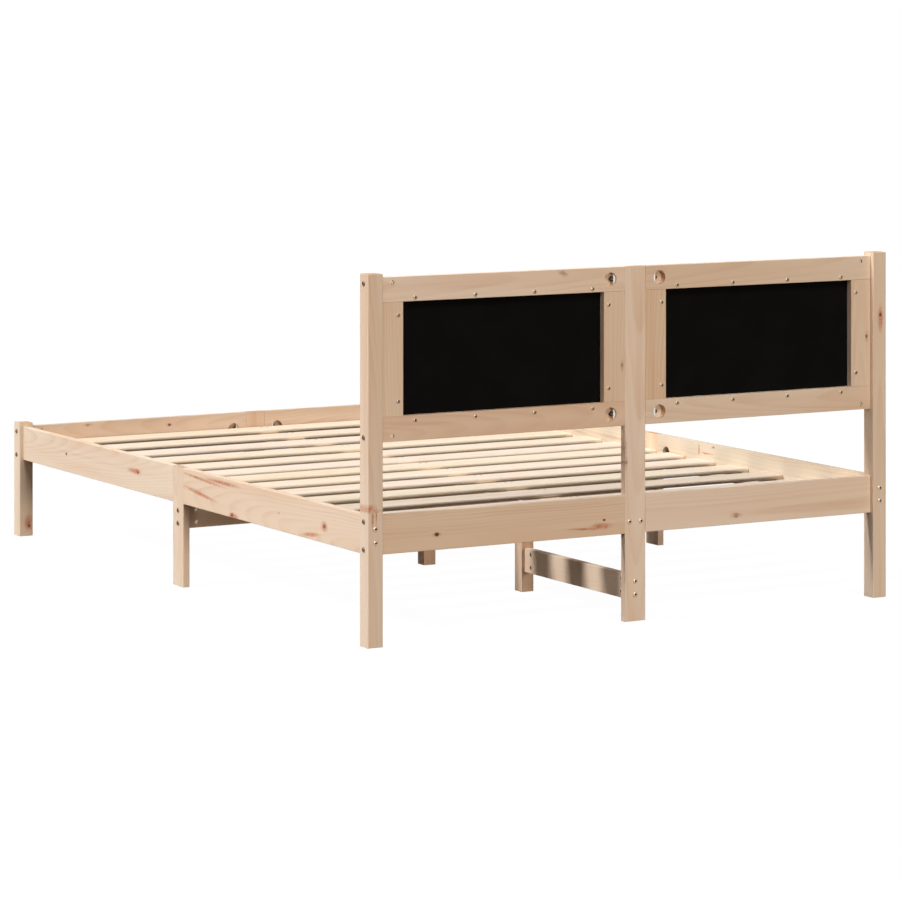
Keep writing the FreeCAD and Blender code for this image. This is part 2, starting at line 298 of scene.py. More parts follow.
def knot_group():
    """A knot or a resin streak: its masks, and the grain bent round it."""
    group, given, result = new_group(
        "knot",
        {"Vector": ("Grain", "Place"),
         "Float": ("Radius", "Stretch", "Slope", "Core", "Heart", "Halo", "Resin")},
        {"Vector": ("Grain",), "Float": ("Heart", "Halo", "Resin")},
    )
    net = Net(group)
    offset = net.parts(net.vector("SUBTRACT", given["Grain"], given["Place"]))
    rough = net.minus(net.noise(given["Grain"], 170, 2), 0.5)
    wobble = net.times(rough, net.times(given["Radius"], 0.9))
    slanted = net.minus(offset[1], net.times(offset[0], given["Slope"]))
    across = net.math("DIVIDE", net.plus(slanted, wobble), given["Radius"])
    along = net.math("DIVIDE", net.plus(offset[0], wobble), given["Radius"])
    across_square = net.times(across, across)

    def distance(stretch):
        share = net.math("DIVIDE", along, stretch)
        return net.math("SQRT", net.plus(net.times(share, share), across_square))

    near = distance(1.25)
    heart = net.times(net.step(near, 1.05, 0.75), given["Core"])
    reach = distance(given["Stretch"])
    patchy = net.plus(net.times(rough, 1.6), 0.8)
    halo = net.times(net.step(reach, 1.7, 0.4), patchy)
    halo = net.times(halo, net.math("GREATER_THAN", given["Core"], 0.05))
    resin = net.times(net.step(reach, 1.9, 0.3), patchy)
    resin = net.times(resin, net.math("LESS_THAN", given["Core"], 0.05))
    bend = net.step(distance(2.2), 3.2, 0.2, 0.0, 0.8)
    bend = net.times(net.times(bend, given["Core"]), offset[1])
    shift = net.join(0.0, bend, 0.0)
    net.put(result["Grain"], net.vector("SUBTRACT", given["Grain"], shift))
    net.put(result["Heart"], net.math("MAXIMUM", given["Heart"], heart))
    net.put(result["Halo"], net.math("MAXIMUM", given["Halo"], halo))
    net.put(result["Resin"], net.math("MAXIMUM", given["Resin"], resin))
    return group


def pine_group():
    """Planed pine: growth rings round a distant pith, soft streaks, fibres, knots, end grain."""
    group, given, result = new_group(
        "pine",
        {"Vector": ("Grain", "Seed", "Pith", "Axis"), "Color": ("Pale", "Warm", "Late"),
         "Float": ("Heart", "Halo", "Resin")},
        {"Color": ("Color",), "Float": ("Roughness", "Height")},
    )
    net = Net(group)
    place = net.vector("ADD", given["Grain"], given["Seed"])
    wander = net.minus(net.noise(net.vector("MULTIPLY", place, (2.2, 9.0, 9.0)), 1, 2), 0.5)
    grain = net.parts(given["Grain"])
    pith = net.parts(given["Pith"])
    lean = net.times(grain[0], pith[0])
    ring_y = net.minus(net.minus(grain[1], pith[1]), lean)
    ring_y = net.plus(ring_y, net.times(wander, ring_wander))
    ring_z = net.plus(net.minus(grain[2], pith[2]), net.times(lean, 1.4))
    squares = net.plus(net.times(ring_y, ring_y), net.times(ring_z, ring_z))
    rings = net.math("DIVIDE", net.math("SQRT", squares), ring_spacing)
    uneven = net.noise(net.join(rings, 0.0, 0.0), 0.55, 1)
    rings = net.plus(rings, net.times(uneven, 1.6))
    turn = net.math("FRACT", rings)
    late = net.times(net.step(turn, 0.35, 0.88), net.step(turn, 1.0, 0.93))
    streak = net.noise(net.vector("MULTIPLY", place, (1.3, 34.0, 34.0)), 1, 3)
    broad = net.noise(net.vector("MULTIPLY", place, (1.0, 11.0, 11.0)), 1, 2)
    fibre = net.noise(net.vector("MULTIPLY", place, (30.0, 1500.0, 1500.0)), 1, 2)
    depth = net.times(late, net.step(streak, 0.3, 0.75, 0.06, 0.33))
    colour = net.mix(net.step(broad, 0.34, 0.68), given["Pale"], given["Warm"])
    colour = net.mix(depth, colour, given["Late"])
    colour = net.mix(net.step(streak, 0.54, 0.78, 0.0, 0.34), colour, given["Late"])
    colour = net.mix(net.step(fibre, 0.5, 0.9, 0.0, 0.14), colour, given["Late"])
    halo_share = net.times(given["Halo"], 0.42, clamp=True)
    colour = net.mix(halo_share, colour, rgb(*halo_brown))
    resin_share = net.times(given["Resin"], 0.85, clamp=True)
    colour = net.mix(resin_share, colour, rgb(*resin_red))
    swirl = net.noise(net.vector("MULTIPLY", place, (420.0, 420.0, 420.0)), 1, 2)
    heart = net.mix(net.step(swirl, 0.35, 0.65), rgb(*heart_dark), rgb(*heart_light))
    colour = net.mix(given["Heart"], colour, heart)
    normal = net.node("NewGeometry").outputs["Normal"]
    facing = net.node("VectorMath", {0: normal, 1: given["Axis"]}, operation="DOT_PRODUCT")
    end = net.step(net.math("ABSOLUTE", facing.outputs["Value"]), 0.75, 0.95)
    end_colour = net.mix(1.0, colour, rgb(*end_grain_tint), "MULTIPLY")
    net.put(result["Color"], net.mix(end, colour, end_colour))
    net.put(result["Roughness"], net.step(fibre, 0.3, 0.8, 0.5, 0.66))
    height = net.plus(net.times(late, 0.35), net.times(fibre, 0.5))
    net.put(result["Height"], net.minus(height, net.times(given["Heart"], 0.5)))
    return group


pine_nodes = pine_group()
knot_nodes = knot_group()

# Tones of single boards, as shares of the palette's red, green and blue
plain_tone_shares = (1, 1, 1)
bright_tone_shares = (1.035, 1.055, 1.085)
pale_tone_shares = (1.01, 1.03, 1.05)
honey_tone_shares = (0.99, 0.975, 0.95)
rosy_tone_shares = (1.0, 0.985, 0.985)
# Painted shade: the foot rails and the foot post are darker for the shade at the foot end.
foot_end_shade_tone_shares = (0.94, 0.94, 0.96)
# Painted shade: the far side rails are darker and cooler, against the warm light that bounces onto
# their inner faces.
far_rail_shade_tone_shares = (0.93, 0.965, 0.98)
clear_tone_shares = (1.0, 1.015, 1.035)
tan_tone_shares = (1.0, 0.98, 0.97)
# Painted shade: the middle leg under the slats is browner and darker for the shade there.
under_deck_shade_tone_shares = (0.96, 0.91, 0.87)
slat_tone_shares = ((1.0, 1.0, 1.015), (0.995, 1.0, 0.985), (1.0, 1.0, 1.0))
boards_by_tone = (
    (bright_tone_shares, ("head_centre_post", "headboard_top_rail_right", "head_rail_left")),
    (pale_tone_shares, ("headboard_top_rail_left", "headboard_bottom_rail_left", "side_leg_right",
                        "head_post_left", "foot_post_right", "side_rail_right_foot")),
    (honey_tone_shares, ("stile_left_inner",)),
    (rosy_tone_shares, ("headboard_bottom_rail_right",)),
    (foot_end_shade_tone_shares, ("foot_rail_right", "foot_rail_left", "foot_centre_post")),
    (far_rail_shade_tone_shares, ("side_rail_left_head", "side_rail_left_foot")),
    (clear_tone_shares, ("head_post_right",)),
    (under_deck_shade_tone_shares, ("centre_leg_middle",)),
    (tan_tone_shares, ("centre_leg_head",)),
)
tones = {board: shares for shares, boards in boards_by_tone for board in boards}
slat_count = 13
for slat_number in range(1, slat_count + 1):
    tones["slat_%02d" % slat_number] = slat_tone_shares[slat_number % len(slat_tone_shares)]

# Knots by board: the place along and across it in metres of the room's axes, the radius in
# millimetres, the stretch along the grain, the slope, and the dark core, which resin has none of
knots = {
    "side_rail_right_foot": [
        ((-0.697, 0.258), 4, 2.2, 0.0, 1.0),
        ((-0.240, 0.260), 4, 1.6, 0.0, 1.0),
        ((-0.262, 0.261), 5, 6.0, 0.0, 0.0),
    ],
    "side_rail_right_head": [
        ((0.794, 0.249), 9, 1.3, 0.0, 0.0),
        ((0.794, 0.249), 5, 1.6, 0.0, 0.75),
        ((0.307, 0.216), 5, 1.5, 0.0, 0.8),
        ((0.315, 0.214), 5, 4.0, 0.0, 0.0),
        ((0.140, 0.284), 3, 30, -0.05, 0.0),
        ((0.252, 0.289), 4, 18, 0.0, 0.0),
        ((0.130, 0.247), 4, 16, -0.10, 0.0),
        ((0.560, 0.252), 2, 1.4, 0.0, 0.7),
        ((0.728, 0.222), 4, 8.0, 0.10, 0.0),
    ],
    "side_rail_left_head": [
        ((0.231, 0.281), 11, 0.35, 0.0, 0.0),
        ((0.268, 0.274), 2, 12.0, 0.0, 0.0),
        ((0.300, 0.294), 3, 3, 0.0, 0.8),
    ],
    "head_rail_right": [
        ((0.542, 0.246), 5, 2.0, 0.0, 1.0),
        ((0.087, 0.247), 3, 1.6, 0.0, 1.0),
        ((0.096, 0.233), 6, 3.6, 0.0, 0.0),
        ((0.140, 0.229), 2, 18.0, 0.05, 0.0),
    ],
    "head_rail_left": [((-0.289, 0.232), 6, 2.4, 0.0, 0.4)],
    "foot_rail_right": [((0.270, 0.279), 4, 2.2, 0.0, 0.9), ((0.520, 0.293), 4, 3.0, 0.0, 0.4)],
    "head_post_right": [
        ((0.318, 0.722), 8, 1.0, 0.0, 0.0),
        ((0.3135, 0.716), 18, 0.10, 0.0, 0.0),
        ((0.297, 0.7165), 2.5, 8.0, 0.0, 0.0),
        ((0.302, 0.7070), 1.5, 10.0, 0.0, 0.0),
    ],
    "head_post_left": [
        ((0.690, -0.711), 6, 4.0, 0.0, 0.0),
        ((0.700, -0.711), 4, 2.0, 0.0, 0.9),
    ],
    "foot_post_right": [
        ((0.036, 0.703), 9, 1.8, 0.0, 0.0),
        ((0.028, 0.701), 4, 2.2, 0.0, 0.8),
    ],
    "head_centre_post": [((0.413, 0.028), 4, 6.0, 0.0, 0.2), ((0.380, 0.026), 4, 4.0, 0.0, 0.4)],
    "stile_left_outer": [((0.647, -0.677), 4, 3.0, 0.0, 0.8)],
    "stile_right_inner": [((0.611, 0.037), 4, 3.0, 0.0, 0.4)],
    "headboard_top_rail_right": [((0.201, 0.836), 6, 2.0, 0.3, 0.2)],
}


def axes_of(low, high):
    """The board's axes: along its grain, across it, and through its thickness."""
    size = high - low
    return sorted(range(3), key=lambda axis: -round(size[axis], 5))


def unit(axis, way=1):
    return Vector([way if index == axis else 0 for index in range(3)])


def toned(name, colour):
    """A palette colour in the tone of one board, as the shaders use it."""
    shares = tones.get(name, plain_tone_shares)
    return rgb(*[min(level * share, 255) for level, share in zip(colour, shares)])


def new_material(name):
    """A material, the short calls for its nodes, and its shader."""
    material = bpy.data.materials.new(name)
    material.use_nodes = True
    return material, Net(material.node_tree), material.node_tree.nodes["Principled BSDF"]


def pine_material(name, axes, centre, palette):
    """The pine of one board, with its own rings, streaks and knots."""
    dice = random.Random(name)
    material, net, shader = new_material("pine_" + name)
    grain = net.node("Attribute", attribute_name="grain").outputs["Vector"]
    passed = {"Grain": grain, "Heart": 0.0, "Halo": 0.0, "Resin": 0.0}
    for (along, across), radius, stretch, slope, core in knots.get(name, []):
        place = (along - centre[axes[0]], across - centre[axes[1]], 0.0)
        values = {"Place": place, "Radius": radius * mm, "Stretch": stretch, "Slope": slope,
                  "Core": core}
        knot = net.node("Group", {**passed, **values}, node_tree=knot_nodes)
        passed = {label: knot.outputs[label] for label in passed}
    pith = (dice.uniform(-0.035, 0.035), dice.uniform(-0.05, 0.05), -dice.uniform(0.04, 0.11))
    seed = (dice.uniform(0, 9), dice.uniform(0, 9), dice.uniform(0, 9))
    values = {"Seed": seed, "Pith": pith, "Axis": tuple(unit(axes[0]))}
    for label, colour in palette.items():
        values[label] = toned(name, colour)
    pine = net.node("Group", {**passed, **values}, node_tree=pine_nodes)
    bump = net.node("Bump", {"Height": pine.outputs["Height"], "Strength": 0.35, "Distance": 0.3 * mm})
    net.put(shader.inputs["Base Color"], pine.outputs["Color"])
    net.put(shader.inputs["Roughness"], pine.outputs["Roughness"])
    net.put(shader.inputs["Normal"], bump.outputs[0])
    shader.inputs["Specular IOR Level"].default_value = wood_specular
    return material


def metal_material(name, colour, dull, roughness):
    """Plated steel with faint brushing and small dull spots."""
    material, net, shader = new_material(name + "_finish")
    place = net.node("TexCoord").outputs["Object"]
    brushed = net.noise(net.vector("MULTIPLY", place, (900.0, 900.0, 5000.0)), 1, 2)
    spots = net.noise(place, 700, 3)
    net.put(shader.inputs["Base Color"], net.mix(net.step(spots, 0.45, 0.75), rgb(*colour), rgb(*dull)))
    net.put(shader.inputs["Roughness"], net.step(brushed, 0.3, 0.7, roughness, roughness + 0.14))
    bump = net.node("Bump", {"Height": brushed, "Strength": 0.15, "Distance": 0.05 * mm})
    net.put(shader.inputs["Normal"], bump.outputs[0])
    shader.inputs["Metallic"].default_value = 1.0
    return material


def woven_material(name, colour, thread, pitch, roughness, sheen, specular):
    """Black cloth woven in two directions, with a painted highlight on the raised threads that is
    uneven in patches.
    """
    material, net, shader = new_material(name)
    place = net.node("TexCoord").outputs["Object"]
    turns = 2 * math.pi / pitch
    warp, depth, weft = [net.math("SINE", net.times(part, turns)) for part in net.parts(place)]
    weave = net.plus(net.times(warp, weft), net.times(depth, 0.4))
    weave = net.plus(net.times(weave, 0.35), 0.5)
    fuzz = net.noise(place, 900, 3)
    patches = net.noise(place, 9, 3)
    # Painted highlight: the raised threads are lighter, less so in some patches.
    painted_thread_highlight = net.times(weave, net.step(patches, 0.3, 0.7, 0.5, 1.0), clamp=True)
    net.put(shader.inputs["Base Color"], net.mix(painted_thread_highlight, rgb(*colour), rgb(*thread)))
    net.put(shader.inputs["Roughness"], net.step(fuzz, 0.3, 0.7, roughness, roughness + 0.1))
    height = net.plus(weave, net.times(fuzz, 0.6))
    bump = net.node("Bump", {"Height": height, "Strength": 0.5, "Distance": 0.25 * mm})
    net.put(shader.inputs["Normal"], bump.outputs[0])
    shader.inputs["Sheen Weight"].default_value = sheen
    shader.inputs["Specular IOR Level"].default_value = specular
    return material


bright_steel = metal_material("zinc_steel", (214, 212, 206), (172, 168, 160), 0.26)
satin_steel = metal_material("satin_steel", (184, 170, 152), (148, 134, 116), 0.34)
yellowed_steel = metal_material("yellowed_steel", (192, 172, 149), (152, 132, 110), 0.3)
# Painted shade: darker steel for the rims of the bolt heads and for the bolts that face sideways.
painted_shade_steel = metal_material("painted_shade_steel", (132, 112, 94), (96, 80, 66), 0.4)
dark_steel = metal_material("dark_steel", (92, 84, 76), (66, 60, 54), 0.42)
# Painted shade: dark steel for the hollows of the hexagon sockets and the cross recesses.
shadowed_steel = metal_material("shadowed_steel", (62, 46, 36), (44, 33, 26), 0.6)
padding_cloth = woven_material("padding_cloth", (9, 9, 9), (26, 26, 27), 1.6 * mm, 0.85, 0.12, 0.15)
lining_cloth = woven_material("lining_cloth", (11, 11, 11), (24, 24, 24), 1.1 * mm, 0.95, 0.0, 0.03)


def new_object(name, data):
    piece = bpy.data.objects.new(name, data)
    bpy.context.scene.collection.objects.link(piece)
    return piece


def mesh_from(bm, name):
    mesh = bpy.data.meshes.new(name)
    bm.to_mesh(mesh)
    bm.free()
    return mesh


def applied(piece):
    """The piece's mesh with its modifiers applied."""
    bpy.context.view_layer.update()
    shown = piece.evaluated_get(bpy.context.evaluated_depsgraph_get())
    mesh = bpy.data.meshes.new_from_object(shown)
    piece.modifiers.clear()
    old = piece.data
    piece.data = mesh
    bpy.data.meshes.remove(old)
    return mesh


def soften(piece):
    """Smooth shading with true flats and crisp creases."""
    mesh = piece.data
    mesh.shade_smooth()
    mesh.set_sharp_from_angle(angle=crease_angle)
    weighted = piece.modifiers.new("flats", "WEIGHTED_NORMAL")
    weighted.keep_sharp = True
    weighted.weight = flat_weight


def box_of(points):
    """The low and the high corner of the points' box."""
    low = Vector([min(point[axis] for point in points) for axis in range(3)])
    high = Vector([max(point[axis] for point in points) for axis in range(3)])
    return low, high


def islands(node):
    """The box corners and the points of each separate solid of a CAD node."""
    bm = bmesh.new()
    bm.from_mesh(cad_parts[node].data)
    bmesh.ops.remove_doubles(bm, verts=bm.verts, dist=weld_distance)
    found = []
    seen = set()
    for start in bm.verts:
        if start in seen:
            continue
        seen.add(start)
        group = [start]
        for vert in group:
            for edge in vert.link_edges:
                other = edge.other_vert(vert)
                if other not in seen:
                    seen.add(other)
                    group.append(other)
        points = [vert.co.copy() for vert in group]
        found.append((*box_of(points), points))
    bm.free()
    return found


def ring(bm, radius, height, sides, flats=0.0):
    """A ring of points round Z, or with flats a hexagon of that width, whatever the radius."""
    points = []
    for index in range(sides):
        turn = 2 * math.pi * index / sides
        reach = radius
        if flats:
            reach = flats / 2 / math.cos((turn + math.pi / 6) % (math.pi / 3) - math.pi / 6)
        points.append(bm.verts.new((reach * math.cos(turn), reach * math.sin(turn), height)))
    return points


def close_up(bm, rings):
    """The skin of a solid: bands between its rings, and a face over each end."""
    for lower, upper in zip(rings, rings[1:]):
        for index, corner in enumerate(lower):
            after = (index + 1) % len(lower)
            bm.faces.new((corner, lower[after], upper[after], upper[index]))
    bm.faces.new(reversed(rings[0]))
    bm.faces.new(rings[-1])


def turned(profile, sides=turned_sides):
    """A closed turned piece from its rings: (radius, height) or (0, height, hexagon width)."""
    bm = bmesh.new()
    close_up(bm, [ring(bm, row[0], row[1], sides, *row[2:]) for row in profile])
    bmesh.ops.recalc_face_normals(bm, faces=bm.faces)
    return bm


def threaded(start, end, root, crest):
    """Rings of a screw thread from one height to another."""
    rows = []
    count = max(1, round(abs(end - start) / thread_pitch))
    pitch = (end - start) / count
    for index in range(count):
        rows.append((root, start + pitch * index))
        rows.append((crest, start + pitch * (index + 0.5)))
    rows.append((root, end))
    return rows


def bolt(length):
    """A domed bolt standing on Z = 0, its shank down to -length."""
    root = bolt_radius - thread_depth
    rows = [(root * thread_tip_share, -length)]
    rows += threaded(-length + thread_lead, -length + threaded_end, root, bolt_radius)
    rows.append((bolt_radius, -length + threaded_end + thread_run_out))
    rows.append((bolt_radius, -neck_drop))
    for reach, rise in bolt_head_shares:
        rows.append((bolt_head_radius * reach, bolt_head_height * rise))
    rows += [
        (0, bolt_head_height - socket_lip, socket_flats + socket_chamfer),
        (0, bolt_head_height - socket_lip - socket_chamfer, socket_flats),
        (0, bolt_head_height - socket_depth, socket_flats),
    ]
    return turned(rows)


def rod(length):
    """A rod threaded from end to end, about its own middle."""
    root = bolt_radius - thread_depth
    half = length / 2
    rows = [(root * thread_tip_share, -half)]
    rows += threaded(-half + thread_lead, half - thread_lead, root, bolt_radius)
    rows.append((root * thread_tip_share, half))
    return turned(rows, rod_sides)


def barrel(length):
    """A barrel nut with a slot in its outer end."""
    rows = [
        (nut_radius - nut_chamfer, -length / 2),
        (nut_radius, -length / 2 + nut_chamfer),
        (nut_radius, length / 2 - nut_chamfer),
        (nut_radius - nut_chamfer, length / 2),
    ]
    piece = new_object("barrel", mesh_from(turned(rows, nut_sides), "barrel"))
    low = Vector((-nut_radius * 2, -nut_slot_width / 2, length / 2 - nut_slot_depth))
    high = Vector((nut_radius * 2, nut_slot_width / 2, length))
    cut(piece, [new_object("slot", mesh_from(box_mesh(low, high), "slot"))])
    return piece


def hexagon_nut():
    """A chamfered hexagon nut standing on Z = 0."""
    rows = [
        (bolt_radius, 0),
        (rod_nut_flats / 2, rod_nut_rise),
        (0, rod_nut_chamfer, rod_nut_flats),
        (0, rod_nut_thickness - rod_nut_chamfer, rod_nut_flats),
        (rod_nut_flats / 2, rod_nut_thickness - rod_nut_rise),
        (bolt_radius + rod_nut_lead, rod_nut_thickness),
        (bolt_radius, rod_nut_thickness - rod_nut_lead),
    ]
    return turned(rows)


def box_mesh(low, high):
    bm = bmesh.new()
    middle = (low + high) / 2
    size = high - low
    matrix = Matrix.Translation(middle) @ Matrix.Diagonal((*size, 1))
    bmesh.ops.create_cube(bm, size=1, matrix=matrix)
    return bm


def bevel(bm, edges, radius, steps):
    bmesh.ops.bevel(bm, geom=edges, offset=radius, segments=steps, profile=0.5, affect="EDGES",
                    clamp_overlap=True)


def drill(start, end, radius, sides=hole_sides):
    """A round cutting solid between two points."""
    bm = bmesh.new()
    direction = end - start
    spin = direction.to_track_quat("Z", "Y").to_matrix().to_4x4()
    matrix = Matrix.Translation((start + end) / 2) @ spin
    bmesh.ops.create_cone(bm, cap_ends=True, segments=sides, radius1=radius, radius2=radius,
                          depth=direction.length, matrix=matrix)
    return new_object("cutter", mesh_from(bm, "cutter"))


def cut(piece, cutters):
    """Cuts the solids out of the piece, then removes them."""
    for cutter in cutters:
        carve = piece.modifiers.new("cut", "BOOLEAN")
        carve.operation = "DIFFERENCE"
        carve.solver = "EXACT"
        carve.object = cutter
    applied(piece)
    for cutter in cutters:
        mesh = cutter.data
        bpy.data.objects.remove(cutter)
        bpy.data.meshes.remove(mesh)


def stamped(name, parts):
    """One piece from many copies: (source mesh, matrix)."""
    bm = bmesh.new()
    for mesh, matrix in parts:
        first = len(bm.verts)
        bm.from_mesh(mesh)
        bm.verts.ensure_lookup_table()
        bmesh.ops.transform(bm, matrix=matrix, verts=bm.verts[first:])
    return new_object(name, mesh_from(bm, name))


def standing(point, direction, spin=0.0):
    """The matrix that stands a piece made on Z at a point, along a direction."""
    turn = direction.to_track_quat("Z", "Y").to_matrix().to_4x4()
    return Matrix.Translation(point) @ turn @ Matrix.Rotation(spin, 4, "Z")


def long_axis(low, high):
    size = high - low
    return max(range(3), key=lambda axis: size[axis])


def read_bolts():
    """Each CAD bolt as the point under its head, the way its head faces, and its length."""
    found = []
    for low, high, points in islands("frame_bolts"):
        axis = long_axis(low, high)
        middle = (low + high) / 2
        wide = []
        for point in points:
            offset = point - middle
            offset[axis] = 0
            if offset.length > bolt_radius * 1.5:
                wide.append(point[axis])
        way = 1 if sum(wide) / len(wide) > middle[axis] else -1
        face = middle.copy()
        face[axis] = (high if way > 0 else low)[axis] - way * bolt_head_height
        found.append((face, unit(axis, way), (high - low)[axis] - bolt_head_height))
    return found


# Where barrel nuts and pockets open, by the start of the board's name: others open on +Y
entry_ways = {
    "side_rail_right": (-1, 0, 0),
    "side_rail_left": (1, 0, 0),
    "head_rail": (0, -1, 0),
    "centre_beam": (0, 0, -1),
    "low_stretcher": (1, 0, 0),
}

# Edge radius, palette and slot by the start of the board's name
plain_kind = (edge_radius, frame_pine, "pine_frame")
timber_kinds = {
    "head_post": (post_edge_radius, frame_pine, "pine_frame"),
    "foot_post": (post_edge_radius, frame_pine, "pine_frame"),
    "ledger": (ledger_edge_radius, slat_pine, "pine_frame"),
    "centre_beam": (edge_radius, slat_pine, "pine_frame"),
    "slat": (slat_edge_radius, slat_pine, "pine_slats"),
}
soft_nodes = ("headboard_pad_right", "headboard_pad_left", "panel_board_right", "panel_board_left")
metal_nodes = ("frame_bolts", "barrel_nuts", "tie_rod_sets", "dowels")
timber_names = [name for name in sorted(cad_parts) if name not in soft_nodes + metal_nodes]
timber_boxes = {name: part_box(name) for name in timber_names}

# Only the first and the last slat lie between the posts: the others reach the side rails
long_slats = ["slat_%02d" % number for number in range(2, slat_count)]


def by_start(table, name, other):
    """The table's value for the start of a name, or else the other one."""
    return next((value for start, value in table.items() if name.startswith(start)), other)


def entry_of(name):
    return Vector(by_start(entry_ways, name, (0, 1, 0)))


def holding(point):
    """The board that a point lies in."""
    for name, (low, high) in timber_boxes.items():
        if all(low[axis] < point[axis] < high[axis] for axis in range(3)):
            return name
    raise ValueError("no board at %s" % point)


def touched(low, high):
    """The boards that a cutting solid's box reaches into."""
    names = []
    low, high = low + touch_slack, high - touch_slack
    for name, (board_low, board_high) in timber_boxes.items():
        if all(low[axis] < board_high[axis] and high[axis] > board_low[axis] for axis in range(3)):
            names.append(name)
    return names


holes = {name: [] for name in timber_names}


def note_bore(low, high, radius):
    """A straight bore along a fastener, in every board that it passes through."""
    axis = long_axis(low, high)
    middle = (low + high) / 2
    reach = unit(axis) * ((high - low)[axis] / 2 + cut_overrun)
    for name in touched(low, high):
        holes[name].append((middle - reach, middle + reach, radius, hole_sides))


def entry_place(name, point):
    """The place on the board's entry face straight over a point."""
    entry = entry_of(name)
    low, high = timber_boxes[name]
    axis = max(range(3), key=lambda axis: abs(entry[axis]))
    place = point.copy()
    place[axis] = (high if entry[axis] > 0 else low)[axis]
    return place


def note_blind_hole(name, bottom, radius, sides):
    """A blind hole from the board's entry face down to a point."""
    start = entry_place(name, bottom) + entry_of(name) * cut_overrun
    holes[name].append((start, bottom, radius, sides))


def mark_grain(mesh, axes, centre):
    """Keeps the place of each point in its board: along the grain, across it, and through."""
    attribute = mesh.attributes.new("grain", "FLOAT_VECTOR", "POINT")
    for vert, value in zip(mesh.vertices, attribute.data):
        offset = vert.co - centre
        value.vector = [offset[axis] for axis in axes]


def make_timber(name):
    """One board with rounded edges, its holes cut, in its own pine."""
    low, high = timber_boxes[name]
    if name in long_slats:
        low = low - unit(0) * slat_end_reach
        high = high + unit(0) * slat_end_reach
    axes = axes_of(low, high)
    radius, palette, slot = by_start(timber_kinds, name, plain_kind)
    if "centre_post" in name:
        radius = edge_radius
    grain = axes[0]
    bm = box_mesh(low, high)
    long_edges = []
    for edge in bm.edges:
        run = edge.verts[1].co - edge.verts[0].co
        if abs(run[grain]) > run.length / 2:
            long_edges.append(edge)
    bevel(bm, long_edges, radius, edge_steps)
    for end, way in ((low, -1), (high, 1)):
        rim = []
        for edge in bm.edges:
            if all(abs(vert.co[grain] - end[grain]) < end_slack for vert in edge.verts):
                rim.append(edge)
        is_post_top = radius == post_edge_radius and way > 0
        bevel(bm, rim, post_top_bevel if is_post_top else end_bevel, end_bevel_steps)
    piece = new_object(name + "_wood", mesh_from(bm, name + "_wood"))
    if holes[name]:
        cut(piece, [drill(*hole) for hole in holes[name]])
    centre = (low + high) / 2
    mark_grain(piece.data, axes, centre)
    piece.data.materials.clear()
    dress(piece, pine_material(name, axes, centre, palette))
    finish_piece(piece, slot, name)


def finish_piece(piece, slot, *nodes):
    """Puts the piece on the body and hides the nodes that it replaces. The slot is not used."""
    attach(piece, body)
    if nodes:
        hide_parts(*nodes)


def dress(piece, *materials):
    """Gives the piece its materials and its smooth shading."""
    for material in materials:
        piece.data.materials.append(material)
    soften(piece)


def finish_steel(name, parts, materials, *nodes):
    """One piece of steel from its stamped parts."""
    piece = stamped(name, parts)
    dress(piece, *materials)
    finish_piece(piece, "zinc_steel", *nodes)


def mark_recess(mesh, reach, low, high):
    """The second material, a painted shade, for the faces near the Z axis between two heights."""
    for face in mesh.polygons:
        middle = face.center
        if math.hypot(middle.x, middle.y) < reach and low < middle.z < high:
            face.material_index = 1


def make_bolts():
    dice = random.Random("bolts")
    sources = {}
    parts = []
    for face, outward, length in read_bolts():
        sideways = abs(outward.x) > 0.5
        key = (round(length / mm), sideways)
        if key not in sources:
            sources[key] = mesh_from(bolt(length), "bolt")
            # The rim of each head, and all of a bolt that faces sideways, take the third material:
            # darker steel as painted shade.
            for polygon in sources[key].polygons:
                if sideways or polygon.center.z < bolt_rim_height:
                    polygon.material_index = 2
            reach = socket_flats * socket_reach_share
            mark_recess(sources[key], reach, 0.0, bolt_head_height - socket_rim)
        parts.append((sources[key], standing(face, outward, dice.uniform(0, math.pi))))
        start = face + outward * cut_overrun
        end = face - outward * (length + cut_overrun)
        for name in touched(*box_of([face, end])):
            holes[name].append((start, end, bolt_radius + bore_clearance, hole_sides))
    steels = (yellowed_steel, shadowed_steel, painted_shade_steel)
    finish_steel("bolt_set", parts, steels, "frame_bolts")


def make_barrels():
    dice = random.Random("barrels")
    source = None
    parts = []
    for low, high, points in islands("barrel_nuts"):
        middle = (low + high) / 2
        name = holding(middle)
        entry = entry_of(name)
        axis = long_axis(low, high)
        length = (high - low)[axis]
        if source is None:
            source = barrel(length)
        parts.append((source.data, standing(middle, entry, dice.uniform(0, math.pi))))
        bottom = middle - entry * length / 2
        note_blind_hole(name, bottom, nut_radius + nut_hole_clearance, hole_sides)
    finish_steel("barrel_nut_set", parts, (satin_steel,), "barrel_nuts")
    bpy.data.objects.remove(source)


